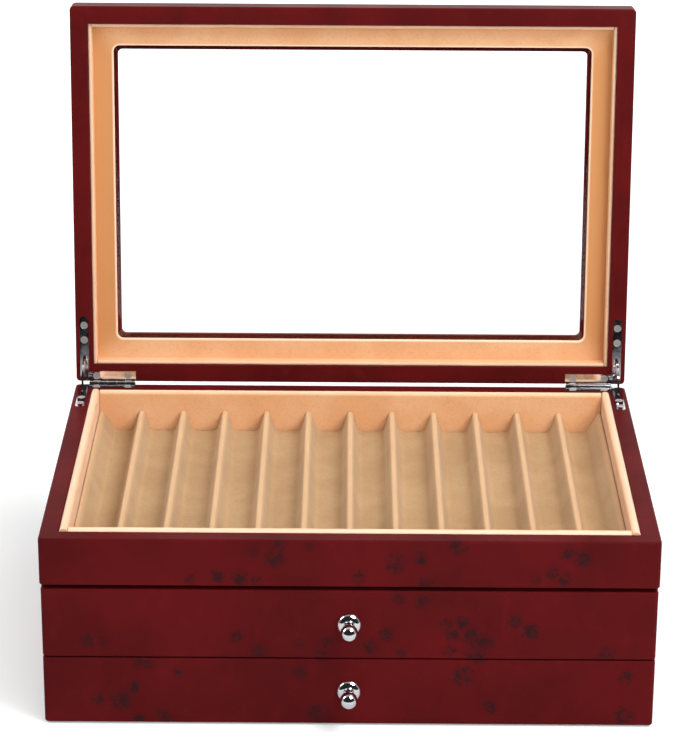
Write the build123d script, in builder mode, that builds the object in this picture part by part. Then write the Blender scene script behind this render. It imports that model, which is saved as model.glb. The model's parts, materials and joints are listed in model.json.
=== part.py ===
from build123d import *
import os
from math import asin, cos, degrees, radians, sin, sqrt, tan

# A collector's chest for pens: a glazed lid over a tray of pen grooves, and two drawers of grooves below.
# Sizes are in millimetres and angles in degrees. +X is to the right, +Y to the back and +Z up, and the
# origin is on the table, under the middle of the case. The lid is drawn open, as it leans on its stays.

# Case
case_width = 350.0
case_depth = 240.0
wall = 11.0  # the case's and the lid's boards, seen from above as the rim
corner_radius = 2.5  # upright corners of the case, the lid and the fronts
rim_edge_radius = 1.2  # outer edge of the rim
rim_inner_chamfer = 0.9
felt_thickness = 1.0
felt_inset = 2.0
bottom_thickness = 6.0
shelf_thickness = 4.0
deck_thickness = 5.0
housing_depth = 3.0  # how far bottom, shelf and deck are let into the side panels

# Front, from the table up
floor_gap = 1.0
lower_front_height = 41.1
front_joint = 0.7  # between the two drawer fronts
upper_front_height = 42.2
shadow_gap = 2.4  # between the upper drawer and the tray's front board
tray_front_height = 28.6
front_edge_radius = 1.0

# Tray in the top of the case
lining_thickness = 5.0
lining_proud = 1.0  # how far the lining stands above the rim
lining_round = 2.2
groove_count = 12
groove_floor_drop = 24.5  # from the rim down to the floor of a groove
groove_depth = 13.0
groove_corner_radius = 3.5
ridge_tip_width = 2.8
ridge_tip_radius = 1.2
ridge_flank_angle = 73.0
wall_flank_angle = 60.0  # of the wider half ridge at each end of a tray
tray_base = 2.5
tray_clearance = 0.6
slit_width = 1.5  # behind each groove's floor, where the tray's covering is tucked down
slit_margin = 0.2  # from a slit's ends to the curve of the groove's sides

# Drawers
stop_gap = 0.3  # behind a shut drawer's front
glide_gap = 0.3  # under a drawer
drawer_side_gap = 0.8
front_inset = 0.6
drawer_back_gap = 4.3  # behind a shut drawer's box
drawer_top_gap = 1.9  # from a drawer's box up to its front's top edge or the board above, if that is lower
drawer_wall = 8.0
drawer_bottom_thickness = 3.0
drawer_bottom_rise = 2.0
drawer_bottom_housing = 3.5
drawer_lining_thickness = 4.0
drawer_lining_proud = 0.6
drawer_lining_round = 1.8
drawer_groove_count = 11
drawer_groove_depth = 12.0

# Knobs
knob_base_radius = 7.0
knob_base_rim = 0.9
knob_base_height = 3.4
knob_dome_share = 0.72  # of the base's height at half its slope, which makes it a dome
knob_neck_radius = 2.7
knob_ball_radius = 5.0
knob_reach = 15.6
knob_screw_radius = 1.8
knob_screw_depth = 7.5  # how far the screw enters the knob
knob_screw_head_radius = 3.4
knob_screw_head = 2.4
knob_screw_gap = 0.3  # round the screw's head in its counterbore
screw_clearance = 0.05

# Lid
lid_open_angle = 95.8
lid_gap = 0.4  # between the two rims when the lid is shut
lid_thickness = 18.0
lid_rim_radius = 1.0
lid_top_radius = 2.0
lid_panel_thickness = 6.0
window_board_thickness = 2.0
window_border = 26.0  # from the lid's edge to the window in the velvet
window_radius = 5.0
panel_window_step = 2.4  # how much narrower the wooden window is, on each side
panel_window_radius = 3.2
panel_window_round = 1.2
glass_thickness = 2.0
glass_overlap = 4.0  # how far the pane reaches past the window in the velvet
glass_clearance = 0.2
lid_lining_thickness = 2.2
lid_lining_sunk = 2.0  # how far the lid's lining stays below its rim
lid_lining_round = 0.9

# Hinges
hinge_setback = 1.4  # hinge line behind the back of the case
hinge_drop = 0.5  # hinge line below the rim
leaf_thickness = 1.2
leaf_width = 5.6
leaf_line_inset = 5.5  # from the case's side to the middle of a leaf's side leg
leaf_inset = 0.8
rear_leg_reach = 38.0  # from the case's side to the end of the rear leg
rear_leg_front = 8.0  # from the hinge line to the front of the rear leg
case_leg_reach = 41.0  # from the hinge line
lid_leg_reach = 44.0
leaf_margin = 0.1  # of a mortise round its leaf
barrel_radius = 2.5
barrel_near = 8.6  # from the case's side to the barrel's ends
barrel_far = 37.5
knuckle_count = 5
knuckle_gap = 0.3
barrel_clearance = 0.4
barrel_end_clearance = 0.5
pin_radius = 1.0
pin_clearance = 0.05
pin_overhang = 0.3
leaf_screw_head_radius = 2.3
leaf_screw_radius = 0.9
leaf_screw_length = 8.0
recess_length = 2.7
recess_width = 0.6
recess_depth = 0.6
rear_screw_places = (13.0, 33.0)  # from the case's side
rear_screw_line = 5.1  # from the hinge line
case_screw_places = (24.5, 34.0)  # from the hinge line
lid_screw_places = (28.6, 38.2)

# Quadrant stays
stay_radius = 16.0
stay_depth = 3.0
stay_thickness = 1.2
stay_pin_radius = 1.1
stay_pin_length = 3.0
stay_clearance = 0.3
pocket_clearance = 0.5

# Places that follow from these sizes
half_width = case_width / 2
front_face = -case_depth / 2
back_face = case_depth / 2
inner_x = half_width - wall
inner_front = front_face + wall
inner_back = back_face - wall

lower_front_bottom = floor_gap
upper_front_bottom = lower_front_bottom + lower_front_height + front_joint
tray_front_bottom = upper_front_bottom + upper_front_height + shadow_gap
case_height = tray_front_bottom + tray_front_height

bottom_top = felt_thickness + bottom_thickness
box_rise = bottom_top + glide_gap - lower_front_bottom  # of a drawer's box above its front's lower edge
shelf_top = upper_front_bottom + box_rise - glide_gap
tray_underside = case_height - groove_floor_drop - tray_base
deck_bottom = tray_underside - deck_thickness

hinge_y = back_face + hinge_setback
hinge_z = case_height - hinge_drop
leaf_line = half_width - leaf_line_inset

# Each rim is a plane that looks into its wood, with local Y running forward from the hinge line. The
# lid's rim is set out shut and swung open about the hinge line, and local X points left on it.
case_rim = Plane((0, hinge_y, case_height), x_dir=(1, 0, 0), z_dir=(0, 0, -1))
shut_rim = Plane((0, hinge_y, case_height + lid_gap), x_dir=(-1, 0, 0), z_dir=(0, 0, 1))
lid_swing = Pos(0, hinge_y, hinge_z) * Rot(X=-lid_open_angle) * Pos(0, -hinge_y, -hinge_z)
lid_rim = Plane(lid_swing * shut_rim.location)
case_hinge_level = hinge_drop  # of the hinge line, as local Z in each rim's plane
lid_hinge_level = -(lid_gap + hinge_drop)

lid_back = hinge_setback
lid_front = hinge_setback + case_depth
lid_middle = hinge_setback + case_depth / 2
lid_recess_depth = lid_thickness - lid_panel_thickness - window_board_thickness
glass_level = lid_thickness - lid_panel_thickness

os.makedirs("parts", exist_ok=True)


def save(piece, label):
    piece.part.label = label
    export_step(piece.part, f"parts/{label}.step")


def block(x, y, z, mode=Mode.ADD):
    """A block from its two ends along each axis, in the part being built."""
    with Locations(((x[0] + x[1]) / 2, (y[0] + y[1]) / 2, (z[0] + z[1]) / 2)):
        Box(x[1] - x[0], y[1] - y[0], z[1] - z[0], mode=mode)


def on_side(span, side):
    """A span of positive X values, turned to the side whose sign is given."""
    return tuple(sorted(side * value for value in span))


# ---------------------------------------------------------------- hinges and stays


def knuckle_spans(first):
    """Every second knuckle, as distances of its two ends from the middle of the chest."""
    start = half_width - barrel_far
    step = (barrel_far - barrel_near + knuckle_gap) / knuckle_count
    places = range(first, knuckle_count, 2)
    return [(start + i * step, start + (i + 1) * step - knuckle_gap) for i in places]


def leaf_outline(frame, side, leg_reach, margin=0.0):
    """An L with one leg along the side rim, round at its end, and the other along the rear rim."""
    half_leg = leaf_width / 2 + margin
    inner, outer = side * (leaf_line - half_leg), side * (leaf_line + half_leg)
    bend = leg_reach - leaf_width / 2
    near = hinge_setback + leaf_inset - margin
    far = rear_leg_front + margin
    end = side * (half_width - rear_leg_reach - margin)
    with BuildSketch(frame) as outline:
        with BuildLine():
            Polyline((inner, bend), (inner, far), (end, far), (end, near), (outer, near), (outer, bend))
            ThreePointArc((outer, bend), (side * leaf_line, bend + half_leg), (inner, bend))
        make_face()
    return outline.sketch


def screw_places(side, leg_places):
    """Where one leaf's screws stand in its rim's plane."""
    rear = [(side * (half_width - place), rear_screw_line) for place in rear_screw_places]
    return rear + [(side * leaf_line, place) for place in leg_places]


def stay_pin_angle(hinge_level):
    """How far inside a rim the stay's end pin lies with the lid open, seen from the hinge line."""
    pin_level = leaf_thickness + stay_clearance + stay_pin_radius
    return degrees(asin((pin_level - hinge_level) / stay_radius))


def hinge_seats(frame, leg_reach, leg_places, hinge_level):
    """The wood's mortises, screw holes, stay pockets and hollows for the barrels, on both sides."""
    shut_angle = radians(stay_pin_angle(hinge_level) + lid_open_angle / 2)
    reach = stay_depth / 2 + pocket_clearance
    pocket_y = (stay_radius * cos(shut_angle) - reach, stay_radius + reach)
    pocket_z = (0, stay_radius * sin(shut_angle) + reach + hinge_level)
    pocket_half = stay_pin_length / 2 + pocket_clearance
    hollow = (half_width - barrel_far - barrel_end_clearance,
              half_width - barrel_near + barrel_end_clearance)
    with BuildPart(frame) as seats:
        for side in (-1, 1):
            extrude(leaf_outline(frame, side, leg_reach, leaf_margin), amount=leaf_thickness)
            block(on_side(hollow, side), (0, rear_leg_front), (0, leaf_thickness))
            block(on_side((leaf_line - pocket_half, leaf_line + pocket_half), side), pocket_y, pocket_z)
            with Locations(*[(x, y, leaf_screw_length / 2) for x, y in screw_places(side, leg_places)]):
                Cylinder(leaf_screw_radius + screw_clearance, leaf_screw_length)
            with Locations((side * (hollow[0] + hollow[1]) / 2, 0, hinge_level)):
                Cylinder(barrel_radius + barrel_clearance, hollow[1] - hollow[0], rotation=(0, 90, 0))
    return seats.part


def hinge_leaf(label, frame, side, leg_reach, leg_places, hinge_level, first_knuckle):
    """One leaf with its knuckles, countersunk holes and the slot that its stay slides through."""
    slot_near = sqrt((stay_radius - stay_depth / 2) ** 2 - (leaf_thickness - hinge_level) ** 2)
    slot_y = (slot_near - stay_clearance, stay_radius + stay_depth / 2 + stay_clearance)
    slot_half = stay_thickness / 2 + stay_clearance
    plate = (0, leaf_thickness)
    with BuildPart(frame) as leaf:
        extrude(leaf_outline(frame, side, leg_reach), amount=leaf_thickness)
        for near, far in knuckle_spans(1 - first_knuckle):
            notch = on_side((near - knuckle_gap, far + knuckle_gap), side)
            block(notch, (0, barrel_radius + barrel_clearance), plate, Mode.SUBTRACT)
        for near, far in knuckle_spans(first_knuckle):
            block(on_side((near, far), side), (0, rear_leg_front), plate)
            with Locations((side * (near + far) / 2, 0, hinge_level)):
                Cylinder(barrel_radius, far - near, rotation=(0, 90, 0))
        with Locations((side * leaf_line, 0, hinge_level)):
            Cylinder(pin_radius + pin_clearance, case_width / 2, rotation=(0, 90, 0), mode=Mode.SUBTRACT)
        slot_x = on_side((leaf_line - slot_half, leaf_line + slot_half), side)
        block(slot_x, slot_y, plate, Mode.SUBTRACT)
        with Locations(*[(x, y, leaf_thickness / 2) for x, y in screw_places(side, leg_places)]):
            Cone(leaf_screw_head_radius + screw_clearance, leaf_screw_radius + screw_clearance,
                 leaf_thickness, mode=Mode.SUBTRACT)
    save(leaf, label)


def leaf_screws(label, frame, leg_places):
    """All the countersunk screws of both leaves on one rim, each with a crossed recess."""
    with BuildPart(frame) as screws:
        for side in (-1, 1):
            places = screw_places(side, leg_places)
            with Locations(*[(x, y, leaf_thickness / 2) for x, y in places]):
                Cone(leaf_screw_head_radius, leaf_screw_radius, leaf_thickness)
            with Locations(*[(x, y, leaf_screw_length / 2) for x, y in places]):
                Cylinder(leaf_screw_radius, leaf_screw_length)
            with Locations(*[(x, y, recess_depth / 2) for x, y in places]):
                Box(recess_length, recess_width, recess_depth, mode=Mode.SUBTRACT)
                Box(recess_width, recess_length, recess_depth, mode=Mode.SUBTRACT)
    save(screws, label)


def hinge_pin(label, side):
    """The pin that both leaves' knuckles turn on."""
    with BuildPart() as pin:
        with Locations((side * (half_width - (barrel_near + barrel_far) / 2), hinge_y, hinge_z)):
            Cylinder(pin_radius, barrel_far - barrel_near + 2 * pin_overhang, rotation=(0, 90, 0))
        chamfer(pin.edges().filter_by(GeomType.CIRCLE), pin_overhang)
    save(pin, label)


def quadrant_stay(label, side):
    """The loose arc between the leaves, with a cross pin at each end that stops under its leaf."""
    hinge_line = Plane((side * leaf_line, hinge_y, hinge_z), x_dir=(0, -1, 0), z_dir=(-1, 0, 0))
    start = -stay_pin_angle(case_hinge_level)
    end = lid_open_angle + stay_pin_angle(lid_hinge_level)
    middle = CenterArc((0, 0), stay_radius, start, end - start)
    with BuildPart(hinge_line) as stay:
        with BuildSketch(hinge_line):
            SlotArc(middle, stay_depth)
        extrude(amount=stay_thickness / 2, both=True)
        for angle in (radians(start), radians(end)):
            with Locations((stay_radius * cos(angle), stay_radius * sin(angle))):
                Cylinder(stay_pin_radius, stay_pin_length)
    save(stay, label)


case_seats = hinge_seats(case_rim, case_leg_reach, case_screw_places, case_hinge_level)
lid_seats = hinge_seats(lid_rim, lid_leg_reach, lid_screw_places, lid_hinge_level)
leaf_screws("case_leaf_screws", case_rim, case_screw_places)
leaf_screws("lid_leaf_screws", lid_rim, lid_screw_places)

for name, side in (("left", -1), ("right", 1)):
    hinge_leaf(f"case_hinge_leaf_{name}", case_rim, side, case_leg_reach, case_screw_places,
               case_hinge_level, 0)
    hinge_leaf(f"lid_hinge_leaf_{name}", lid_rim, -side, lid_leg_reach, lid_screw_places,
               lid_hinge_level, 1)
    hinge_pin(f"hinge_pin_{name}", side)
    quadrant_stay(f"quadrant_stay_{name}", side)


# ---------------------------------------------------------------- case

with BuildPart() as case_outside:
    with BuildSketch(Plane.XY.offset(felt_thickness)):
        RectangleRounded(case_width, case_depth, corner_radius)
    extrude(amount=case_height - felt_thickness)
    fillet(case_outside.faces().sort_by(Axis.Z)[-1].edges(), rim_edge_radius)

with BuildPart() as rim_chamfer:
    with BuildSketch(case_rim):
        with Locations((0, hinge_y)):
            Rectangle(2 * (inner_x + rim_inner_chamfer), inner_back - inner_front + 2 * rim_inner_chamfer)
    extrude(amount=rim_inner_chamfer, taper=45)

for name, side in (("left", -1), ("right", 1)):
    with BuildPart() as side_panel:
        add(case_outside.part)
        block(on_side((inner_x, half_width), side), (inner_front, back_face),
              (felt_thickness, case_height), Mode.INTERSECT)
        housing_x = on_side((inner_x, inner_x + housing_depth), side)
        for housing_z in ((felt_thickness, bottom_top), (shelf_top - shelf_thickness, shelf_top),
                          (deck_bottom, tray_underside)):
            block(housing_x, (inner_front, inner_back), housing_z, Mode.SUBTRACT)
        add(rim_chamfer.part, mode=Mode.SUBTRACT)
        add(case_seats, mode=Mode.SUBTRACT)
    save(side_panel, f"side_panel_{name}")

with BuildPart() as back_panel:
    add(case_outside.part)
    block((-inner_x, inner_x), (inner_back, back_face), (felt_thickness, case_height), Mode.INTERSECT)
    add(rim_chamfer.part, mode=Mode.SUBTRACT)
    add(case_seats, mode=Mode.SUBTRACT)
save(back_panel, "back_panel")

with BuildPart() as tray_front:
    add(case_outside.part)
    block((-half_width, half_width), (front_face, inner_front), (tray_front_bottom, case_height),
          Mode.INTERSECT)
    add(rim_chamfer.part, mode=Mode.SUBTRACT)
    lower_edges = tray_front.faces().sort_by(Axis.Z)[0].edges()
    fillet(lower_edges.sort_by(Axis.Y)[:-1], front_edge_radius)
save(tray_front, "tray_front")

for label, top, thickness in (("bottom_panel", bottom_top, bottom_thickness),
                              ("drawer_shelf", shelf_top, shelf_thickness),
                              ("tray_deck", tray_underside, deck_thickness)):
    with BuildPart() as board:
        board_half = inner_x + housing_depth
        block((-board_half, board_half), (inner_front, inner_back), (top - thickness, top))
    save(board, label)

with BuildPart() as base_felt:
    block((felt_inset - half_width, half_width - felt_inset), (inner_front, back_face - felt_inset),
          (0, felt_thickness))
save(base_felt, "base_felt")


# ---------------------------------------------------------------- velvet linings and pen trays


def lining_board(label, frame, x, y, z, rounding):
    """A velvet-covered board on edge, with its lip rounded. The frame looks down into what it lines."""
    with BuildPart(frame) as board:
        block(x, y, z)
        lip = board.faces().sort_by(Axis(frame.origin, frame.z_dir))[0]
        fillet(lip.edges().sort_by(SortBy.LENGTH)[-2:], rounding)
    save(board, label)


def lining(prefix, frame, half, y, z, thickness, rounding):
    """Four boards round a hollow: the side ones run its whole length, the end ones lie between them."""
    left = -1 if frame.x_dir.X > 0 else 1
    for name, side in (("left", left), ("right", -left)):
        lining_board(f"{prefix}_{name}", frame, on_side((half - thickness, half), side), y, z, rounding)
    between = (thickness - half, half - thickness)
    lining_board(f"{prefix}_back", frame, between, (y[0], y[0] + thickness), z, rounding)
    lining_board(f"{prefix}_front", frame, between, (y[1] - thickness, y[1]), z, rounding)


def pen_tray(label, half, y, underside, count, depth):
    """A velvet tray of scalloped grooves that run front to back, with half a wider ridge at each wall."""
    pitch = 2 * half / count
    middles = [i * pitch - half for i in range(count + 1)]
    angles = [wall_flank_angle] + (count - 1) * [ridge_flank_angle] + [wall_flank_angle]
    half_feet = [ridge_tip_width / 2 + depth / tan(radians(angle)) for angle in angles]
    reaches = [foot + groove_corner_radius * tan(radians(angle / 2))
               for foot, angle in zip(half_feet, angles)]
    cross_section = Plane((0, y[1], underside), x_dir=(1, 0, 0), z_dir=(0, -1, 0))
    with BuildPart() as tray:
        with BuildSketch(cross_section) as profile:
            Rectangle(2 * (half + pitch), tray_base, align=(Align.CENTER, Align.MIN))
            for middle, foot, angle in zip(middles, half_feet, angles):
                with Locations((middle, tray_base)):
                    Trapezoid(2 * foot, depth, angle, align=(Align.CENTER, Align.MIN))
            tips = profile.vertices().group_by(Axis.Y)[-1]
            fillet(tips, ridge_tip_radius)
            feet = profile.vertices().group_by(Axis.Y)[1]
            fillet(feet.filter_by(lambda foot: abs(foot.X) < half), groove_corner_radius)
            Rectangle(2 * half, tray_base + depth, align=(Align.CENTER, Align.MIN), mode=Mode.INTERSECT)
        extrude(amount=y[1] - y[0])
        for i in range(count):
            slit_x = (middles[i] + reaches[i] + slit_margin, middles[i + 1] - reaches[i + 1] - slit_margin)
            block(slit_x, (y[1] - slit_width, y[1]), (underside, underside + tray_base + slit_margin),
                  Mode.SUBTRACT)
    save(tray, label)


lining("tray_lining", case_rim, inner_x, (hinge_y - inner_back, hinge_y - inner_front),
       (-lining_proud, case_height - tray_underside), lining_thickness, lining_round)
tray_wall = lining_thickness + tray_clearance
pen_tray("pen_tray", inner_x - tray_wall, (inner_front + tray_wall, inner_back - tray_wall),
         tray_underside, groove_count, groove_depth)


# ---------------------------------------------------------------- lid

lid_depth_axis = Axis(lid_rim.origin, lid_rim.z_dir)
lid_window = (case_width - 2 * window_border, case_depth - 2 * window_border)
lid_inner_y = (lid_back + wall, lid_front - wall)

with BuildPart(lid_rim) as lid_outside:
    with BuildSketch(lid_rim):
        with Locations((0, lid_middle)):
            RectangleRounded(case_width, case_depth, corner_radius)
    extrude(amount=lid_thickness)
    fillet(lid_outside.faces().sort_by(lid_depth_axis)[-1].edges(), lid_top_radius)
    fillet(lid_outside.faces().sort_by(lid_depth_axis)[0].edges(), lid_rim_radius)

rail_corners = ((-1, 0), (1, 0), (1, 1), (-1, 1))  # local X side, then back or front
for number, name in enumerate(("back", "left", "front", "right")):
    ends = (rail_corners[number], rail_corners[(number + 1) % 4])
    outer = [(side * half_width, (lid_back, lid_front)[end]) for side, end in ends]
    inner = [(side * inner_x, lid_inner_y[end]) for side, end in ends]
    with BuildPart() as rail:
        with BuildSketch(lid_rim):
            with BuildLine():
                Polyline(*outer, *reversed(inner), close=True)
            make_face()
        extrude(amount=lid_thickness)
        add(lid_outside.part, mode=Mode.INTERSECT)
        add(lid_seats, mode=Mode.SUBTRACT)
    save(rail, f"lid_rail_{name}")


def window(level, narrower, radius):
    """The lid's window as a rounded rectangle at a level of the lid."""
    with BuildSketch(lid_rim.offset(level)) as opening:
        with Locations((0, lid_middle)):
            RectangleRounded(lid_window[0] - 2 * narrower, lid_window[1] - 2 * narrower, radius)
    return opening.sketch


with BuildPart(lid_rim) as lid_panel:
    block((-inner_x, inner_x), lid_inner_y, (glass_level, lid_thickness))
    extrude(window(glass_level, panel_window_step, panel_window_radius), amount=lid_panel_thickness,
            mode=Mode.SUBTRACT)
    fillet(lid_panel.faces().sort_by(lid_depth_axis)[-1].inner_wires()[0].edges(), panel_window_round)
    extrude(window(glass_level, -glass_overlap, window_radius), amount=glass_thickness,
            mode=Mode.SUBTRACT)
save(lid_panel, "lid_panel")

with BuildPart(lid_rim) as window_glass:
    extrude(window(glass_level, glass_clearance - glass_overlap, window_radius - glass_clearance),
            amount=glass_thickness)
save(window_glass, "window_glass")

with BuildPart(lid_rim) as window_board:
    block((-inner_x, inner_x), lid_inner_y, (lid_recess_depth, glass_level))
    extrude(window(lid_recess_depth, 0, window_radius), amount=window_board_thickness,
            mode=Mode.SUBTRACT)
save(window_board, "window_board")

lining("lid_lining", lid_rim, inner_x, lid_inner_y, (lid_lining_sunk, lid_recess_depth),
       lid_lining_thickness, lid_lining_round)


# ---------------------------------------------------------------- drawers


def drawer_knob(label, middle):
    """A turned knob: a domed base, a short neck and a ball, threaded from behind."""
    ball_middle = knob_reach - knob_ball_radius
    neck_end = ball_middle - sqrt(knob_ball_radius ** 2 - knob_neck_radius ** 2)
    turning = Plane((0, front_face, middle), x_dir=(0, -1, 0), z_dir=(1, 0, 0))
    with BuildPart() as knob:
        with BuildSketch(turning):
            with BuildLine():
                Polyline((knob_base_height, knob_neck_radius), (neck_end, knob_neck_radius))
                ThreePointArc((neck_end, knob_neck_radius), (ball_middle, knob_ball_radius),
                              (knob_reach, 0))
                Polyline((knob_reach, 0), (0, 0), (0, knob_base_radius),
                         (knob_base_rim, knob_base_radius))
                dome = (knob_base_height * knob_dome_share,
                        (knob_base_radius + knob_neck_radius) / 2 + knob_base_rim)
                ThreePointArc((knob_base_rim, knob_base_radius), dome, (knob_base_height, knob_neck_radius))
            make_face()
        revolve(axis=Axis((0, front_face, middle), (0, -1, 0)))
        with BuildSketch(Plane((0, front_face, middle), x_dir=(1, 0, 0), z_dir=(0, -1, 0))):
            Circle(knob_screw_radius + screw_clearance)
        extrude(amount=knob_screw_depth, mode=Mode.SUBTRACT)
    save(knob, label)


def make_drawer(name, front_bottom, front_height, bay_top):
    """A drawer: a full-width front, a box with its bottom let in, linings, a pen tray and a knob."""
    front_back = inner_front - stop_gap
    box_half = inner_x - drawer_side_gap
    box_back = inner_back - drawer_back_gap
    box_z = (front_bottom + box_rise, min(bay_top, front_bottom + front_height) - drawer_top_gap)
    inside = box_half - drawer_wall
    floor_z = (box_z[0] + drawer_bottom_rise, box_z[0] + drawer_bottom_rise + drawer_bottom_thickness)
    housed = inside + drawer_bottom_housing
    floor_y = (front_back - drawer_bottom_housing, box_back - drawer_wall + drawer_bottom_housing)
    knob_middle = front_bottom + front_height / 2
    behind = Plane((0, front_back, knob_middle), x_dir=(-1, 0, 0), z_dir=(0, 1, 0))

    with BuildPart() as floor:
        block((-housed, housed), floor_y, floor_z)
    save(floor, f"{name}_drawer_bottom")

    with BuildPart() as front:
        block((front_inset - half_width, half_width - front_inset), (front_face, front_back),
              (front_bottom, front_bottom + front_height))
        fillet(front.edges().filter_by(Axis.Z).group_by(Axis.Y)[0], corner_radius)
        for face in (front.faces().sort_by(Axis.Z)[-1], front.faces().sort_by(Axis.Z)[0]):
            fillet(face.edges().sort_by(Axis.Y)[:-1], front_edge_radius)
        with Locations(behind):
            CounterBoreHole(knob_screw_radius + screw_clearance, knob_screw_head_radius + knob_screw_gap,
                            knob_screw_head)
        add(floor.part, mode=Mode.SUBTRACT)
    save(front, f"{name}_drawer_front")

    for side_name, side in (("left", -1), ("right", 1)):
        with BuildPart() as side_board:
            block(on_side((inside, box_half), side), (front_back, box_back), box_z)
            add(floor.part, mode=Mode.SUBTRACT)
        save(side_board, f"{name}_drawer_side_{side_name}")

    with BuildPart() as back_board:
        block((-inside, inside), (box_back - drawer_wall, box_back), box_z)
        add(floor.part, mode=Mode.SUBTRACT)
    save(back_board, f"{name}_drawer_back")

    box_top = Plane((0, 0, box_z[1]), x_dir=(1, 0, 0), z_dir=(0, 0, -1))
    lining(f"{name}_drawer_lining", box_top, inside, (drawer_wall - box_back, -front_back),
           (-drawer_lining_proud, box_z[1] - floor_z[1]), drawer_lining_thickness, drawer_lining_round)
    drawer_tray_wall = drawer_lining_thickness + tray_clearance
    pen_tray(f"{name}_drawer_tray", inside - drawer_tray_wall,
             (front_back + drawer_tray_wall, box_back - drawer_wall - drawer_tray_wall),
             floor_z[1], drawer_groove_count, drawer_groove_depth)

    drawer_knob(f"{name}_knob", knob_middle)
    with BuildPart(behind) as knob_screw:
        with BuildSketch(behind.offset(-knob_screw_head)):
            Circle(knob_screw_head_radius)
        extrude(amount=knob_screw_head)
        with BuildSketch(behind):
            Circle(knob_screw_radius)
        extrude(amount=-(front_back - front_face + knob_screw_depth))
        with Locations((0, 0, -recess_depth / 2)):
            Box(recess_length, recess_width, recess_depth, mode=Mode.SUBTRACT)
            Box(recess_width, recess_length, recess_depth, mode=Mode.SUBTRACT)
    save(knob_screw, f"{name}_knob_screw")


make_drawer("lower", lower_front_bottom, lower_front_height, shelf_top - shelf_thickness)
make_drawer("upper", upper_front_bottom, upper_front_height, deck_bottom)
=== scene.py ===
import json
from math import cos, pi, radians, sin

import bmesh
import bpy
from mathutils import Matrix, Vector, noise


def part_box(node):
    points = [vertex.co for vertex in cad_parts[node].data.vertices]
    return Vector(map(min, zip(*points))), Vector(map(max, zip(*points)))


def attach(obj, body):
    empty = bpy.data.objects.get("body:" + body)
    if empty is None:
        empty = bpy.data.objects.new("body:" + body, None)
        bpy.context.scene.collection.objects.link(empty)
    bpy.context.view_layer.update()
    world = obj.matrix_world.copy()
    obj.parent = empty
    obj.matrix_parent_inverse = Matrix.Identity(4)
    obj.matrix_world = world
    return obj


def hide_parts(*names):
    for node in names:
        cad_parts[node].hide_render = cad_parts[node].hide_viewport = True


with open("model.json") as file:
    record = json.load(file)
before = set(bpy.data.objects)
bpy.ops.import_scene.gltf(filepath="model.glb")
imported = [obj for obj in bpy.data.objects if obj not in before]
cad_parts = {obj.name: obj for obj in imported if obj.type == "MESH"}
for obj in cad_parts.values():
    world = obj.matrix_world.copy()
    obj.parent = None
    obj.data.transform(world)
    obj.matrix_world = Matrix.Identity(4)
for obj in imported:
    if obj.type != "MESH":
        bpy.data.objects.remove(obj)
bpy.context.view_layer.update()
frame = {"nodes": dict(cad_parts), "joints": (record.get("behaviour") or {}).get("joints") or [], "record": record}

DRAWERS = ("lower_drawer", "upper_drawer")
SIDES = ("left", "right", "back", "front")

# ---------------------------------------------------------------- camera, as the photograph was taken

PHOTO_HEIGHT = 737.0
SENSOR = 36.0
FOCAL_PIXELS = 2857.0
CAMERA_PLACE = (-0.00186, -1.57881, 0.77704)
CAMERA_PITCH = radians(-20.925)
CAMERA_YAW = radians(-0.173)
CAMERA_ROLL = radians(0.302)


def make_camera():
    data = bpy.data.cameras.new("photograph")
    data.sensor_width = SENSOR
    data.lens = SENSOR * FOCAL_PIXELS / PHOTO_HEIGHT
    data.clip_start = 0.05
    data.clip_end = 60.0
    camera = bpy.data.objects.new("photograph", data)
    bpy.context.scene.collection.objects.link(camera)
    level = Matrix.Rotation(pi / 2 + CAMERA_PITCH, 4, "X")
    turned = Matrix.Rotation(-CAMERA_YAW, 4, "Z") @ level @ Matrix.Rotation(CAMERA_ROLL, 4, "Z")
    camera.matrix_world = Matrix.Translation(CAMERA_PLACE) @ turned
    bpy.context.scene.camera = camera


# ---------------------------------------------------------------- nodes


class Nodes:
    """A node tree, with short calls that add a node and set or link its inputs."""

    def __init__(self, tree):
        self.tree = tree

    def add(self, kind, inputs=None, **settings):
        made = self.tree.nodes.new(kind)
        for name, value in settings.items():
            setattr(made, name, value)
        for name, value in (inputs or {}).items():
            self.put(made.inputs[name], value)
        return made

    def put(self, socket, value):
        if isinstance(value, bpy.types.NodeSocket):
            self.tree.links.new(value, socket)
        else:
            socket.default_value = value

    def math(self, operation, first, second=0.0, clamp=False):
        made = self.add("ShaderNodeMath", {0: first, 1: second}, operation=operation, use_clamp=clamp)
        return made.outputs[0]


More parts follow.
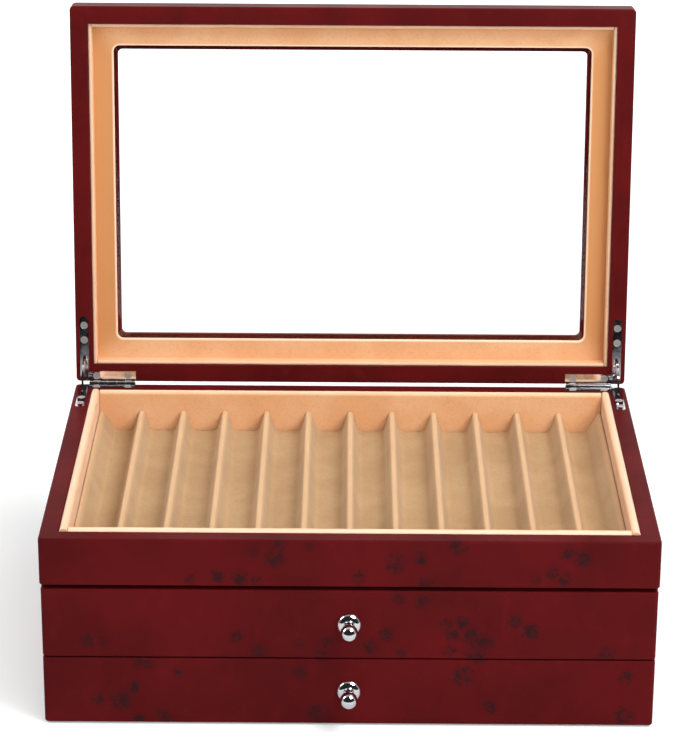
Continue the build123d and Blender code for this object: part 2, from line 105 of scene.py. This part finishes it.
class Surface(Nodes):
    """A material, with short calls that add a texture or a blend and hand back its output."""

    def __init__(self, name):
        self.material = bpy.data.materials.new(name)
        self.material.use_nodes = True
        super().__init__(self.material.node_tree)
        self.shader = self.tree.nodes["Principled BSDF"]
        self.place = self.add("ShaderNodeTexCoord").outputs["Object"]

    def set(self, **values):
        """Values and links of the shader's own sockets, with _ for a blank in a name."""
        for name, value in values.items():
            self.put(self.shader.inputs[name.replace("_", " ")], value)

    def stretch(self, place, scale):
        return self.add("ShaderNodeMapping", {"Vector": place, "Scale": scale}).outputs[0]

    def noise(self, place, scale, detail=3.0, roughness=0.5, distortion=0.0, output=0):
        made = self.add("ShaderNodeTexNoise", {"Vector": place, "Scale": scale, "Detail": detail,
                                               "Roughness": roughness, "Distortion": distortion})
        return made.outputs[output]

    def vector(self, operation, first, inputs, output=0):
        made = self.add("ShaderNodeVectorMath", {0: first, **inputs}, operation=operation)
        return made.outputs[output]

    def warp(self, place, scale, reach):
        """The place, pushed about by up to about reach, in patches of about 1 / scale."""
        push = self.noise(place, scale, 2.0, output="Color")
        centred = self.vector("SUBTRACT", push, {1: (0.5, 0.5, 0.5)})
        scaled = self.vector("SCALE", centred, {"Scale": 2 * reach})
        return self.vector("ADD", place, {1: scaled})

    def ramp(self, value, low, high, to_low=0.0, to_high=1.0):
        """A smooth step between two values."""
        made = self.add("ShaderNodeMapRange", {"Value": value, "From Min": low, "From Max": high,
                                               "To Min": to_low, "To Max": to_high})
        made.interpolation_type = "SMOOTHSTEP"
        return made.outputs[0]

    def mix(self, share, first, second):
        """A blend of two colours."""
        return self.add("ShaderNodeMix", {0: share, 6: first, 7: second}, data_type="RGBA").outputs[2]

    def carried(self, attribute):
        """A number that the mesh carries at each of its points."""
        return self.add("ShaderNodeAttribute", attribute_name=attribute).outputs["Fac"]

    def bump(self, height, strength, distance):
        made = self.add("ShaderNodeBump", {"Height": height, "Strength": strength, "Distance": distance})
        self.put(self.shader.inputs["Normal"], made.outputs[0])


def shade(red, green, blue):
    """A colour given as it shows on screen, from 0 to 255, as the linear one that shaders take."""
    screen = [part / 255 for part in (red, green, blue)]
    linear = [((part + 0.055) / 1.055) ** 2.4 if part > 0.04 else part / 12.92 for part in screen]
    return (*linear, 1.0)


WHITE = (1.0, 1.0, 1.0, 1.0)

# ---------------------------------------------------------------- materials

# The dark clusters of the fronts' burl, listed one by one: x, z and radius in millimetres.
KNOTS = ((-42, 105, 6), (-54, 109, 3), (-39, 114, 4), (-62, 92, 5), (-74, 94, 4), (-90, 92, 3),
         (-53, 91, 3), (-22, 113, 3), (61, 112, 5), (27, 102, 6), (40, 105, 4), (5, 93, 4), (43, 90, 4),
         (123, 109, 4), (131, 106, 5), (114, 97, 4), (121, 93, 4), (105, 93, 3),
         (-148, 53, 4), (-140, 53, 3), (-64, 56, 4), (-51, 47, 4), (-28, 52, 3), (-14, 53, 4),
         (-16, 45, 4), (28, 81, 4), (41, 78, 4), (55, 64, 4), (64, 66, 4), (59, 58, 4), (70, 57, 6),
         (77, 53, 5), (57, 48, 4), (72, 46, 6), (94, 67, 4), (103, 60, 5), (21, 58, 4), (12, 50, 4),
         (30, 47, 3), (147, 47, 5),
         (-120, 40, 3), (-114, 38, 3), (-97, 33, 3), (-28, 34, 4), (-123, 24, 4), (-130, 15, 6),
         (-144, 16, 4), (-106, 5, 4), (-120, 4, 3), (-18, 8, 6), (65, 32, 6), (81, 12, 4), (158, 7, 6),
         (158, 32, 4))
KNOT_HEART = 0.25  # of a cluster's radius, out to which it is at its densest
KNOT_EDGE = 1.5625  # of its radius, where its last eyes end
MILLIMETRE = 0.001


def inside_knots(wood, place, knots, front):
    """1 in a cluster's heart, fading to 0 round it. The clusters lie on the plane of a front."""
    inside = 0.0
    for x, z, radius in knots:
        middle = (x * MILLIMETRE, front, z * MILLIMETRE)
        gap = wood.vector("DISTANCE", place, {1: middle}, output="Value")
        size = radius * MILLIMETRE
        near = wood.ramp(gap, size * KNOT_HEART, size * KNOT_EDGE, 1.0, 0.0)
        inside = wood.math("MAXIMUM", inside, near)
    return inside


def burl_lacquer(name, base, deep, glow, eye, eyes, knots=(), front=0.0):
    """Dyed burl under satin lacquer: cloudy red-brown with clusters of small dark eyes.

    Without knots, noise places the clusters."""
    wood = Surface(name)
    warped = wood.warp(wood.place, 22.0, 0.012)
    clouds = wood.noise(warped, 16.0, 4.0, 0.55)
    figure = wood.noise(wood.stretch(warped, (1.0, 1.0, 0.45)), 120.0, 5.0, 0.62)
    colour = wood.mix(wood.ramp(clouds, 0.34, 0.66), deep, base)
    colour = wood.mix(wood.ramp(figure, 0.50, 0.80, 0.0, 0.45), colour, glow)
    colour = wood.mix(wood.ramp(figure, 0.24, 0.44, 0.35, 0.0), colour, deep)

    ragged = wood.warp(wood.place, 300.0, 0.0016)
    if knots:
        inside = inside_knots(wood, ragged, knots, front)
    else:
        inside = wood.ramp(wood.noise(wood.warp(wood.place, 40.0, 0.006), 24.0, 2.0), 0.60, 0.74)
    blots = wood.noise(ragged, 430.0, 3.0, 0.6)
    wide = wood.noise(ragged, 230.0, 4.0, 0.65)
    specks = wood.math("MULTIPLY", wood.ramp(blots, 0.48, 0.62, 0.0, 0.8), wood.ramp(inside, 0.0, 0.5))
    hearts = wood.math("MULTIPLY", wood.ramp(wide, 0.42, 0.58), wood.ramp(inside, 0.3, 0.9))
    stain = wood.math("MULTIPLY", inside, 0.3)
    marks = wood.math("MAXIMUM", wood.math("MAXIMUM", specks, hearts), stain)
    colour = wood.mix(wood.math("MULTIPLY", marks, eyes), colour, eye)

    wood.bump(wood.noise(wood.place, 420.0, 2.0), 0.05, 0.0004)
    gloss = wood.ramp(clouds, 0.3, 0.7, 0.36, 0.29)
    wood.set(Base_Color=colour, Roughness=gloss, Specular_IOR_Level=0.025)
    return wood.material


def plain_wood(name, base, deep):
    """The boards inside, stained to match: straight grain under a thin dull finish."""
    wood = Surface(name)
    grain = wood.noise(wood.stretch(wood.place, (0.08, 1.0, 1.0)), 900.0, 4.0, 0.6)
    clouds = wood.noise(wood.place, 14.0)
    colour = wood.mix(wood.ramp(grain, 0.38, 0.66), deep, base)
    colour = wood.mix(wood.ramp(clouds, 0.4, 0.7, 0.0, 0.4), colour, deep)
    wood.bump(grain, 0.12, 0.0002)
    wood.set(Base_Color=colour, Roughness=wood.ramp(grain, 0.3, 0.7, 0.58, 0.44))
    return wood.material


CREST_HIGHLIGHT_DEPTH = 0.0045  # below a tray's top, where the painted highlight on its crests begins
CREST_HIGHLIGHT = 0.8  # how strong the painted highlight is at a crest, where 1 is its strength on a lip
HIGHLIGHT_SHARE = 0.8  # of the highlight colour, mixed in where the painted highlight is strongest


def velvet(name, base, deep, light, highlight_colour, sheen, sheen_tint, crest=None, painted_side_shade=None):
    """Short velvet: a dense nap with brushed patches, and a painted highlight where it bends over an edge.

    A covered board's mesh carries the strength of the painted highlight on its lip, and a tray gets one up to
    its crest. With a colour for painted shade, the mesh also carries where the strips beside the window are
    darkened."""
    cloth = Surface(name)
    nap = cloth.noise(cloth.place, 3200.0, 2.0, 0.7)
    tuft = cloth.noise(cloth.stretch(cloth.place, (1.0, 0.55, 1.0)), 900.0, 3.0, 0.6)
    brushed = cloth.noise(cloth.warp(cloth.place, 30.0, 0.01), 26.0, 3.0, 0.55)
    colour = cloth.mix(cloth.ramp(brushed, 0.36, 0.64), base, light)
    colour = cloth.mix(cloth.ramp(tuft, 0.30, 0.52, 0.35, 0.0), colour, deep)
    colour = cloth.mix(cloth.ramp(nap, 0.58, 0.74, 0.0, 0.25), colour, light)
    # painted shade: the strips beside the window are darkened towards this colour
    if painted_side_shade:
        colour = cloth.mix(cloth.carried("painted_side_shade"), colour, painted_side_shade)
    # painted highlight: paler on a covered board's lip, or on a tray towards its crest
    if crest is None:
        highlight_share = cloth.carried("painted_highlight")
    else:
        height = cloth.add("ShaderNodeSeparateXYZ", {0: cloth.place}).outputs["Z"]
        highlight_share = cloth.ramp(height, crest - CREST_HIGHLIGHT_DEPTH, crest, 0.0, CREST_HIGHLIGHT)
    colour = cloth.mix(cloth.math("MULTIPLY", highlight_share, HIGHLIGHT_SHARE), colour, highlight_colour)
    pile = cloth.math("ADD", cloth.math("MULTIPLY", nap, 0.6), tuft)
    cloth.bump(pile, 0.22, 0.0003)
    rough = cloth.ramp(brushed, 0.35, 0.65, 0.96, 0.86)
    cloth.set(Base_Color=colour, Roughness=rough, Sheen_Weight=sheen, Sheen_Roughness=0.42,
              Sheen_Tint=sheen_tint, Specular_IOR_Level=0.15)
    return cloth.material


def felt(name, base, deep):
    """Pressed wool felt: tangled fibres."""
    cloth = Surface(name)
    fibres = cloth.noise(cloth.warp(cloth.place, 500.0, 0.0012), 1300.0, 5.0, 0.7, 1.5)
    colour = cloth.mix(cloth.ramp(fibres, 0.36, 0.64), deep, base)
    cloth.bump(fibres, 0.5, 0.0004)
    cloth.set(Base_Color=colour, Roughness=cloth.ramp(fibres, 0.3, 0.7, 0.98, 0.88),
              Sheen_Weight=0.3, Sheen_Roughness=0.5, Specular_IOR_Level=0.1)
    return cloth.material


def bright_metal(name, base, dull, smooth, rough, brush):
    """Plated or polished metal: fine brushing, and smears in its gloss."""
    metal = Surface(name)
    smears = metal.noise(metal.warp(metal.place, 120.0, 0.002), 190.0)
    lines = metal.noise(metal.stretch(metal.place, (1.0, 1.0, 0.12)), brush, 3.0, 0.7)
    colour = metal.mix(metal.ramp(smears, 0.42, 0.68, 0.0, 0.5), base, dull)
    metal.bump(lines, 0.03, 0.00008)
    metal.set(Base_Color=colour, Metallic=1.0, Roughness=metal.ramp(smears, 0.35, 0.7, smooth, rough))
    return metal.material


def clear_glass(name):
    """Float glass, with a trace of dust. Light passes it without a dark shadow."""
    glass = Surface(name)
    dust = glass.noise(glass.place, 60.0, 4.0)
    tint = glass.mix(glass.ramp(dust, 0.3, 0.7), shade(254, 252, 252), shade(253, 251, 252))
    glass.set(Base_Color=tint, Roughness=glass.ramp(dust, 0.45, 0.75, 0.0, 0.012), IOR=1.5,
              Transmission_Weight=1.0)
    clear = glass.add("ShaderNodeBsdfTransparent", {"Color": shade(250, 253, 251)}).outputs[0]
    shadow = glass.add("ShaderNodeLightPath").outputs["Is Shadow Ray"]
    mixed = glass.add("ShaderNodeMixShader", {0: shadow, 1: glass.shader.outputs[0], 2: clear})
    glass.put(glass.tree.nodes["Material Output"].inputs["Surface"], mixed.outputs[0])
    return glass.material


# ---------------------------------------------------------------- cloth, as meshes

LID_HINGE = next(joint for joint in frame["joints"] if joint["name"] == "lid_hinge")
HINGE = Vector(LID_HINGE["pos_m"])
SWING = radians(LID_HINGE["range_deg"][1])
TO_SHUT = Matrix.Translation(HINGE) @ Matrix.Rotation(SWING, 4, "X") @ Matrix.Translation(-HINGE)
AS_IS = Matrix.Identity(4)

SMOOTH_ANGLE = radians(40.0)
CLOTH_STEP = 0.004  # along a board
END_GAP = 0.0003  # between a covered board's end and what it butts against
LIP_TURNS = 6  # facets in each of a lip's two rounds
LIP_FLAT = 0.02  # of a board's thickness, left flat at least between its lip's two rounds
BELOW_LIP = 1.2  # of its rounding, from the lip's top down to where the faces are straight
LIP_HIGHLIGHT_DEPTH = 0.7  # of its rounding, down to which the lip gets a painted highlight
INNER_LIP_HIGHLIGHT = 0.25  # how strong the painted highlight is on the inner edge of a lip, where 1 is its strength on the outer edge
PUCKER = 0.00022  # how far the covering wanders
PUCKER_SIZE = 70.0  # patches per metre
CALM_ENDS = 6.0  # the pucker grows from none to full over 1 / CALM_ENDS of a board, at each end
PUCKER_RISE = 0.5  # how far the lip moves up as the face moves in
STRAIGHT_FOOT = 0.3  # of a board's height, without pucker
STRAIGHT_BACK = 0.9  # of its half thickness, beyond which its outer face has no pucker
FELT_CORNER = 0.004
FELT_TURNS = 6
FELT_EDGE = 0.0003


def points_of(node, turned):
    return [turned @ vert.co for vert in frame["nodes"][node].data.vertices]


def span(points):
    low = Vector([min(point[i] for point in points) for i in range(3)])
    high = Vector([max(point[i] for point in points) for i in range(3)])
    return low, high


def rounded_loop(low, high, radius, turns):
    """A rectangle's outline from above, counterclockwise, with an arc of so many turns at each corner."""
    loop = []
    corners = ((high.x, high.y), (low.x, high.y), (low.x, low.y), (high.x, low.y))
    for quarter, (x, y) in enumerate(corners):
        middle_x = x - radius if quarter in (0, 3) else x + radius
        middle_y = y - radius if quarter in (0, 1) else y + radius
        for i in range(turns + 1):
            angle = (quarter + i / turns) * pi / 2
            loop.append((middle_x + radius * cos(angle), middle_y + radius * sin(angle)))
    return loop


def loft(made, rings, around=False):
    """Faces from each ring of vertices to the next one, and from the last to the first if around."""
    following = rings[1:] + rings[:1] if around else rings[1:]
    for first, second in zip(rings, following):
        for i in range(len(first)):
            j = (i + 1) % len(first)
            made.faces.new((first[i], first[j], second[j], second[i]))


def close_ends(made, rings):
    made.faces.new(list(reversed(rings[0])))
    made.faces.new(rings[-1])


def shown(made, name, material, body, node):
    """A drawn mesh as a piece that rides on a body and stands for a CAD node."""
    bmesh.ops.recalc_face_normals(made, faces=made.faces)
    mesh = bpy.data.meshes.new(name)
    made.to_mesh(mesh)
    made.free()
    mesh.materials.append(material)
    for polygon in mesh.polygons:
        polygon.use_smooth = True
    mesh.set_sharp_from_angle(angle=SMOOTH_ANGLE)
    piece = bpy.data.objects.new(name, mesh)
    bpy.context.scene.collection.objects.link(piece)
    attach(piece, body)
    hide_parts(node)
    return piece


def hollow_middle(node, turned):
    """The middle, from front to back, of the hollow that a lining board belongs to."""
    prefix = node.rsplit("_", 1)[0]
    fronts = span(points_of(f"{prefix}_front", turned))[0].y
    backs = span(points_of(f"{prefix}_back", turned))[1].y
    return (fronts + backs) / 2


def board_section(half, height, rounding):
    """A board's section on edge, up one face, over its rounded lip and down the other."""
    below_lip = [0.0, (height - rounding) / 2, height - BELOW_LIP * rounding]
    section = [(-half, v) for v in below_lip]
    for middle, start in ((rounding - half, pi), (half - rounding, pi / 2)):
        for i in range(LIP_TURNS + 1):
            angle = start - i * pi / 2 / LIP_TURNS
            section.append((middle + rounding * cos(angle), height - rounding + rounding * sin(angle)))
    return section + [(half, v) for v in reversed(below_lip)]


def covered_board(node, body, turned, lip_up, material, rounding):
    """A board on edge wrapped in velvet. Its lip is rounded and puckers a little along its length."""
    low, high = span(points_of(node, turned))
    middle = (low + high) / 2
    size = high - low
    along = 0 if size.x > size.y else 1
    across = 1 - along
    half = size[across] / 2
    rounding = min(rounding, half * (1 - LIP_FLAT))
    steps = max(2, round(size[along] / CLOTH_STEP))
    height = size.z
    section = board_section(half, height, rounding)
    hollow = 0.0 if across == 0 else hollow_middle(node, turned)
    inward = -1 if middle[across] > hollow else 1
    upward = 1 if lip_up else -1
    foot = low.z if lip_up else high.z

    made = bmesh.new()
    painted_highlight = made.verts.layers.float.new("painted_highlight")
    rings = []
    for k in range(steps + 1):
        t = k / steps
        calm = min(1.0, CALM_ENDS * t, CALM_ENDS * (1 - t))
        ring = []
        for u, v in section:
            place = Vector((0.0, 0.0, foot + upward * v))
            place[along] = low[along] + END_GAP + t * (size[along] - 2 * END_GAP)
            place[across] = middle[across] + u
            wander = noise.noise(place * PUCKER_SIZE) * PUCKER * calm
            if v > height * STRAIGHT_FOOT and u * inward > -half * STRAIGHT_BACK:
                place[across] += inward * wander
                place.z += upward * wander * PUCKER_RISE * (v / height)
            vert = made.verts.new(turned.inverted() @ place)
            # painted highlight on the lip, strongest at its outer edge
            outward = (half - u * inward) / (2 * half)
            on_lip = v > height - LIP_HIGHLIGHT_DEPTH * rounding
            vert[painted_highlight] = INNER_LIP_HIGHLIGHT + (1 - INNER_LIP_HIGHLIGHT) * outward if on_lip else 0.0
            ring.append(vert)
        rings.append(ring)
    loft(made, rings)
    close_ends(made, rings)
    return shown(made, f"velvet_{node}", material, body, node)


WINDOW_BORDERS = (0.026, 0.0251)  # at the sides, and in front and behind
WINDOW_RADIUS = 0.0038
WINDOW_ROUND = 0.0007  # of the board's edge at the window
WINDOW_TURNS = 8
WINDOW_EDGE_TURNS = 5
WINDOW_PARTS = 40  # along each side
BORDER_PARTS = 8  # from the window out to the rails
BOARD_CORNER = 0.0005
BORDER_SWELL = 0.3  # of the pucker, on the flat of the board


def window_loop(low, high, radius):
    """A rounded rectangle with its long straight runs divided."""
    loop = rounded_loop(low, high, radius, WINDOW_TURNS)
    divided = []
    for i, (a, b) in enumerate(zip(loop, loop[1:] + loop[:1])):
        divided.append(a)
        if i % (WINDOW_TURNS + 1) == WINDOW_TURNS:
            shares = [k / WINDOW_PARTS for k in range(1, WINDOW_PARTS)]
            divided += [(a[0] + (b[0] - a[0]) * share, a[1] + (b[1] - a[1]) * share) for share in shares]
    return divided


def framed_board(node, body, turned, material):
    """The velvet board round the lid's window, drawn over its edge. The shut lid's velvet looks down."""
    low, high = span(points_of(node, turned))
    lid_low, lid_high = span(points_of("lid_rail_left", turned) + points_of("lid_rail_right", turned))
    border = Vector((*WINDOW_BORDERS, 0))
    window_low = lid_low + border
    window_high = lid_high - border
    centre = (window_low + window_high) / 2
    reach = (window_high - window_low) / 2
    turn_size = max(WINDOW_BORDERS)

    def window_at(outset, z):
        away = Vector((outset, outset, 0))
        loop = window_loop(window_low - away, window_high + away, WINDOW_RADIUS + outset)
        return [Vector((x, y, z)) for x, y in loop]

    def side_shade_share(place):
        """How much painted shade there is: 1 on the strips beside the window, 0 before and behind it, and a soft
        turn at its corners.
        """
        past_side = abs(place.x - centre.x) - reach.x
        past_end = abs(place.y - centre.y) - reach.y
        share = min(1.0, max(0.0, (past_side - past_end) / turn_size + 0.5))
        return share * share * (3 - 2 * share)

    # Each ring of places goes with the strength of its painted highlight. They run down the window's edge, out
    # over the board's velvet face and up its outer edge.
    rings = [(window_at(0.0, high.z), 0.0), (window_at(0.0, low.z + WINDOW_ROUND), 1.0)]
    for i in range(1, WINDOW_EDGE_TURNS + 1):
        angle = i * pi / 2 / WINDOW_EDGE_TURNS
        outset = WINDOW_ROUND * (1 - cos(angle))
        rings.append((window_at(outset, low.z + WINDOW_ROUND * (1 - sin(angle))), 1.0))
    inner = window_at(2 * WINDOW_ROUND, low.z)
    outer = window_loop(low, high, BOARD_CORNER)
    rings.append((inner, 0.0))
    for i in range(1, BORDER_PARTS + 1):
        share = i / BORDER_PARTS
        ring = []
        for a, (x, y) in zip(inner, outer):
            place = a.lerp(Vector((x, y, low.z)), share)
            swell = noise.noise(place * PUCKER_SIZE) * PUCKER * sin(share * pi)
            place.z = low.z + abs(swell) * BORDER_SWELL
            ring.append(place)
        rings.append((ring, 0.0))
    rings.append(([Vector((x, y, high.z)) for x, y in outer], 0.0))

    made = bmesh.new()
    painted_highlight = made.verts.layers.float.new("painted_highlight")
    # painted highlight on the window's edge, and painted shade on the strips beside the window
    painted_side_shade = made.verts.layers.float.new("painted_side_shade")
    drawn = []
    for ring, highlight_share in rings:
        verts = [made.verts.new(turned.inverted() @ place) for place in ring]
        for vert, place in zip(verts, ring):
            vert[painted_highlight] = highlight_share
            vert[painted_side_shade] = side_shade_share(place)
        drawn.append(verts)
    loft(made, drawn, around=True)
    return shown(made, "velvet_window_board", material, body, node)


def felt_sheet(node, material):
    """The felt glued under the chest."""
    low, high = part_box(node)
    middle = (low + high) / 2
    loop = rounded_loop(low, high, FELT_CORNER, FELT_TURNS)
    made = bmesh.new()
    rings = []
    levels = ((FELT_EDGE, low.z), (0.0, low.z + FELT_EDGE), (0.0, high.z - FELT_EDGE), (FELT_EDGE, high.z))
    for inset, z in levels:
        ring = []
        for x, y in loop:
            inward = (middle - Vector((x, y, middle.z))).normalized() * inset
            ring.append(made.verts.new((x + inward.x, y + inward.y, z)))
        rings.append(ring)
    loft(made, rings)
    close_ends(made, rings)
    piece = shown(made, "felt_pad", material, "case", node)
    return piece


# ---------------------------------------------------------------- finishes

TRAYS = ("pen_tray", *(f"{drawer}_tray" for drawer in DRAWERS))
FRONTS = ("tray_front", *(f"{drawer}_front" for drawer in DRAWERS))
LID_RIM = ("lid_rail_back", "lid_rail_front", "lid_rail_left", "lid_rail_right", "lid_panel")
LEAF_SCREWS = ("case_leaf_screws", "lid_leaf_screws")
BOX_BOARDS = ("side_left", "side_right", "back", "bottom")
INSIDE_BOARDS = ("bottom_panel", "drawer_shelf", "tray_deck",
                 *(f"{drawer}_{board}" for drawer in DRAWERS for board in BOX_BOARDS))

FRONT_WOOD = burl_lacquer("front_burl", shade(88, 18, 20), shade(76, 16, 18), shade(98, 21, 22),
                          shade(44, 22, 25), 0.95, KNOTS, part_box("lower_drawer_front")[0].y)
SIDE_WOOD = burl_lacquer("side_burl", shade(93, 18, 20), shade(80, 16, 18), shade(103, 21, 22),
                         shade(50, 27, 29), 0.85)
RIM_WOOD = burl_lacquer("lid_lacquer", shade(92, 20, 20), shade(78, 17, 18), shade(102, 23, 23),
                        shade(60, 22, 23), 0.3)
BOX_WOOD = plain_wood("stained_board", shade(104, 38, 34), shade(78, 28, 27))
# The palest colour is a painted highlight on the lips, and the darkest is painted shade on the strips beside the
# window.
LINING_VELVET = velvet("peach_velvet", base=shade(222, 167, 121), deep=shade(202, 145, 100),
                       light=shade(228, 179, 135), highlight_colour=shade(246, 216, 190), sheen=0.5,
                       sheen_tint=shade(255, 236, 218), painted_side_shade=shade(200, 141, 90))
# The palest colour is a painted highlight on the trays' crests.
TRAY_VELVETS = {tray: velvet(f"sand_velvet_{tray}", base=shade(174, 140, 101), deep=shade(155, 121, 84),
                             light=shade(184, 151, 112), highlight_colour=shade(212, 172, 131), sheen=0.35,
                             sheen_tint=shade(255, 236, 214), crest=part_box(tray)[1].z)
                for tray in TRAYS}
BASE_FELT = felt("base_felt", shade(70, 24, 26), shade(46, 16, 18))
CHROME = bright_metal("chrome", shade(236, 236, 240), shade(214, 214, 220), 0.05, 0.11, 1800.0)
STEEL = bright_metal("screw_steel", shade(232, 232, 232), shade(200, 200, 202), 0.45, 0.6, 2600.0)
GLASS = clear_glass("clear_glass")

SLOT_FINISHES = {"wood": SIDE_WOOD, "velvet": LINING_VELVET, "felt": BASE_FELT, "glass": GLASS,
                 "chrome": CHROME, "steel": STEEL}
OWN_FINISHES = {**dict.fromkeys(FRONTS, FRONT_WOOD), **dict.fromkeys(LID_RIM, RIM_WOOD),
                **dict.fromkeys(INSIDE_BOARDS, BOX_WOOD), **dict.fromkeys(LEAF_SCREWS, STEEL),
                **TRAY_VELVETS}

TRAY_LINING_ROUND = 0.0022
DRAWER_LINING_ROUND = 0.0018
LID_LINING_ROUND = 0.0009


def finish_nodes():
    """Each CAD node gets its own finish, or else that of its slot."""
    slots = {part["node"]: part["material_slot"] for part in frame["record"]["subparts"]}
    for node, thing in frame["nodes"].items():
        material = OWN_FINISHES.get(node, SLOT_FINISHES[slots[node]])
        thing.data.materials.clear()
        thing.data.materials.append(material)


def cover_boards():
    for side in SIDES:
        covered_board(f"tray_lining_{side}", "case", AS_IS, True, LINING_VELVET, TRAY_LINING_ROUND)
        covered_board(f"lid_lining_{side}", "lid", TO_SHUT, False, LINING_VELVET, LID_LINING_ROUND)
        for drawer in DRAWERS:
            covered_board(f"{drawer}_lining_{side}", drawer, AS_IS, True, LINING_VELVET,
                          DRAWER_LINING_ROUND)
    framed_board("window_board", "lid", TO_SHUT, LINING_VELVET)


# ---------------------------------------------------------------- studio

FLOOR_HALF = 12.0
PAPER_END = -0.65  # where the white paper ends in front, as metal and lacquer mirror it
PAPER_FADE = 0.1  # on each side of that end
MIRRORED_DARK = 0.35  # share of darkness in the mirrored paper behind that end, against 1 in front of it
NEAR_GLOW = 0.22  # of the paper, as it is seen, under the chest
FAR_GLOW = 0.9
GLOW_FROM = 0.3  # from the chest's middle, where the glow starts to grow
GLOW_TO = 1.6

AMBIENT = 0.325  # of the room, on the chest
ROOM_FRONT = 0.02  # of the room as metal and lacquer mirror it, on the camera's side
ROOM_BACK = 1.0
ROOM_TURN = 0.35  # how gradually the mirrored room goes from one to the other
AIM = Vector((0.0, 0.0, 0.12))


def make_floor():
    """A white sweep that keeps the chest's soft shadow."""
    mesh = bpy.data.meshes.new("studio_floor")
    corners = [(x * FLOOR_HALF, y * FLOOR_HALF, 0) for x, y in ((-1, -1), (1, -1), (1, 1), (-1, 1))]
    mesh.from_pydata(corners, [], [(0, 1, 2, 3)])
    floor = bpy.data.objects.new("studio_floor", mesh)
    bpy.context.scene.collection.objects.link(floor)
    paper = Surface("white_paper")
    path = paper.add("ShaderNodeLightPath").outputs
    ahead = paper.add("ShaderNodeSeparateXYZ", {0: paper.place}).outputs["Y"]
    mirrored = paper.math("SUBTRACT", path["Is Glossy Ray"], path["Is Transmission Ray"], clamp=True)
    past_end = paper.ramp(ahead, PAPER_END - PAPER_FADE, PAPER_END + PAPER_FADE, 1.0, MIRRORED_DARK)
    dark = paper.math("MULTIPLY", mirrored, past_end)
    paper.set(Base_Color=paper.mix(dark, shade(240, 240, 240), shade(16, 14, 16)), Roughness=0.9,
              Specular_IOR_Level=0.0)
    seen = paper.math("MAXIMUM", path["Is Camera Ray"], path["Is Transmission Ray"])
    away = paper.vector("LENGTH", paper.place, {}, output="Value")
    glow = paper.ramp(away, GLOW_FROM, GLOW_TO, NEAR_GLOW, FAR_GLOW)
    paper.set(Emission_Color=WHITE, Emission_Strength=paper.math("MULTIPLY", seen, glow))
    mesh.materials.append(paper.material)


def make_world():
    """White wherever it is seen, and a plain soft light on the chest, dimmer from behind the camera."""
    world = bpy.data.worlds.new("studio")
    bpy.context.scene.world = world
    world.use_nodes = True
    world.node_tree.nodes.clear()
    room = Nodes(world.node_tree)
    path = room.add("ShaderNodeLightPath").outputs
    seen = room.math("MAXIMUM", path["Is Camera Ray"], path["Is Transmission Ray"])
    direction = room.add("ShaderNodeTexCoord").outputs["Generated"]
    backward = room.add("ShaderNodeSeparateXYZ", {0: direction}).outputs["Y"]
    turn = {"Value": backward, "From Min": -ROOM_TURN, "From Max": ROOM_TURN,
            "To Min": ROOM_FRONT, "To Max": ROOM_BACK}
    facing = room.add("ShaderNodeMapRange", turn).outputs[0]
    strength = room.add("ShaderNodeMix", {0: path["Is Glossy Ray"], 2: AMBIENT, 3: facing}).outputs[0]
    light = room.add("ShaderNodeBackground", {"Color": WHITE, "Strength": strength}).outputs[0]
    white = room.add("ShaderNodeBackground", {"Color": WHITE}).outputs[0]
    mixed = room.add("ShaderNodeMixShader", {0: seen, 1: light, 2: white}).outputs[0]
    room.add("ShaderNodeOutputWorld", {"Surface": mixed})


def make_lamp(name, place, size, watts, mirrored=True):
    """A soft rectangular lamp turned to the chest, which metal and lacquer may mirror or not."""
    data = bpy.data.lights.new(name, "AREA")
    data.shape = "RECTANGLE"
    data.size, data.size_y = size
    data.energy = watts
    lamp = bpy.data.objects.new(name, data)
    lamp.visible_glossy = mirrored
    bpy.context.scene.collection.objects.link(lamp)
    place = Vector(place)
    facing = (place - AIM).to_track_quat("Z", "Y").to_matrix().to_4x4()
    lamp.matrix_world = Matrix.Translation(place) @ facing


make_camera()
finish_nodes()
cover_boards()
felt_sheet("base_felt", BASE_FELT)
make_floor()
make_world()
make_lamp("left_window", (-1.35, 0.05, 1.05), (0.9, 0.9), 10.4)
make_lamp("right_window", (0.85, -0.65, 1.50), (0.9, 0.9), 25.5)
make_lamp("front_fill", (0.5, -2.2, 1.1), (1.6, 0.9), 20.8, mirrored=False)
make_lamp("overhead", (0.1, 0.3, 2.2), (1.6, 1.2), 7.5, mirrored=False)

bpy.context.scene.view_settings.view_transform = "Standard"
